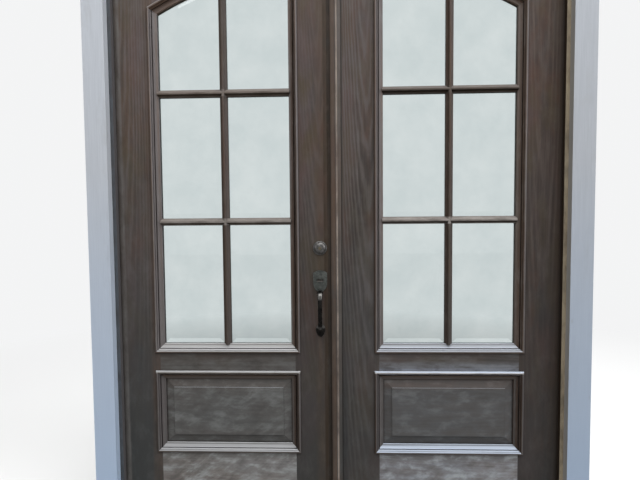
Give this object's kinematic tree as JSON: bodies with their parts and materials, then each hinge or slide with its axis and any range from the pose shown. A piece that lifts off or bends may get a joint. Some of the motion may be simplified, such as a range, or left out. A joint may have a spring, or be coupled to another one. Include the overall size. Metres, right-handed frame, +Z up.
{
  "type": "french doors with frame",
  "caption": "Inswing pair of stained wooden french doors with arched glazed lights and raised bottom panels, hung in a jamb frame with sill and flat casings.",
  "frame": {"origin": "middle of the opening on the sill's underside, in the plane of the leaves' outside faces", "axes": "+X to the right seen from outside, +Y from outside to inside, +Z up"},
  "size_m": [2.0276, 0.205, 2.5763],
  "materials": {
    "stained_wood": "weathered dark stain",
    "painted_wood": "satin paint",
    "glass": "polished, bevelled",
    "dark_bronze": "oil-rubbed dark bronze",
    "plug_brass": "worn brass",
    "hinge_steel": "dark plated",
    "sill_aluminium": "satin, dark",
    "seal": "matt"
  },
  "bodies": {
    "frame": {"jamb_left": "stained_wood", "jamb_right": "stained_wood", "head_jamb": "stained_wood", "sill_base": "stained_wood", "sill_deck": "sill_aluminium", "sill_riser": "stained_wood", "casing_left": "painted_wood", "casing_right": "painted_wood", "casing_head": "painted_wood", "weatherstrip": "seal", "hinge_jamb_plates": "hinge_steel", "bolt_keepers": "dark_bronze"},
    "left_door": {"left_bottom_rail": "stained_wood", "left_middle_rail": "stained_wood", "left_top_rail": "stained_wood", "left_meeting_stile": "stained_wood", "left_hinge_stile": "stained_wood", "left_panel": "stained_wood", "left_panel_moulding": "stained_wood", "left_light_moulding": "stained_wood", "left_glazing_bars": "stained_wood", "left_panes": "glass", "left_sweep": "seal", "left_hinge_plates": "hinge_steel", "faceplates": "dark_bronze", "handle_plate": "dark_bronze", "handle_grip": "dark_bronze", "rosettes": "dark_bronze"},
    "right_door": {"right_bottom_rail": "stained_wood", "right_middle_rail": "stained_wood", "right_top_rail": "stained_wood", "right_meeting_stile": "stained_wood", "right_hinge_stile": "stained_wood", "right_panel": "stained_wood", "right_panel_moulding": "stained_wood", "right_light_moulding": "stained_wood", "right_glazing_bars": "stained_wood", "right_panes": "glass", "right_sweep": "seal", "right_hinge_plates": "hinge_steel", "astragal": "stained_wood", "strikes": "dark_bronze", "surface_bolt_guides": "dark_bronze"},
    "thumb_piece": {"thumb_piece": "dark_bronze"},
    "key_plug": {"key_plug": "plug_brass"},
    "thumb_turn": {"thumb_turn": "dark_bronze"},
    "inside_knob": {"inside_knob": "dark_bronze"},
    "latch_bolt": {"latch_bolt": "dark_bronze"},
    "dead_bolt": {"dead_bolt": "dark_bronze"},
    "surface_bolt_top": {"surface_bolt_top": "dark_bronze"},
    "surface_bolt_bottom": {"surface_bolt_bottom": "dark_bronze"}
  },
  "joints": [
    {"name": "left_swing", "type": "hinge", "parent": "frame", "child": "left_door", "pos_m": [-0.921, 0.051, 1.25], "axis": [0, 0, 1], "range_deg": [0, 110]},
    {"name": "right_swing", "type": "hinge", "parent": "frame", "child": "right_door", "pos_m": [0.921, 0.051, 1.25], "axis": [0, 0, -1], "range_deg": [0, 110]},
    {"name": "knob_turn", "type": "hinge", "parent": "left_door", "child": "inside_knob", "pos_m": [-0.069, 0.06, 1.0233], "axis": [0, 1, 0], "range_deg": [0, 45]},
    {"name": "thumb_press", "type": "hinge", "parent": "left_door", "child": "thumb_piece", "pos_m": [-0.069, -0.003, 1.0293], "axis": [-1, 0, 0], "range_deg": [0, 14]},
    {"name": "latch_slide", "type": "slide", "parent": "left_door", "child": "latch_bolt", "axis": [1, 0, 0], "range_m": [0, 0.012]},
    {"name": "turn_turn", "type": "hinge", "parent": "left_door", "child": "thumb_turn", "pos_m": [-0.069, 0.06, 1.163], "axis": [0, 1, 0], "range_deg": [0, 90]},
    {"name": "key_turn", "type": "hinge", "parent": "left_door", "child": "key_plug", "pos_m": [-0.069, -0.01, 1.163], "axis": [0, 1, 0], "range_deg": [0, 90]},
    {"name": "dead_bolt_slide", "type": "slide", "parent": "left_door", "child": "dead_bolt", "axis": [1, 0, 0], "range_m": [0, 0.025]},
    {"name": "bolt_top_slide", "type": "slide", "parent": "right_door", "child": "surface_bolt_top", "axis": [0, 0, 1], "range_m": [0, 0.018]},
    {"name": "bolt_bottom_slide", "type": "slide", "parent": "right_door", "child": "surface_bolt_bottom", "axis": [0, 0, -1], "range_m": [0, 0.018]}
  ],
  "couplings": [
    {"joint": "thumb_press", "follows": "knob_turn", "ratio": 0.31111},
    {"joint": "latch_slide", "follows": "knob_turn", "m_per_rad": 0.015279},
    {"joint": "key_turn", "follows": "dead_bolt_slide", "rad_per_m": 62.832},
    {"joint": "turn_turn", "follows": "dead_bolt_slide", "rad_per_m": 62.832}
  ]
}
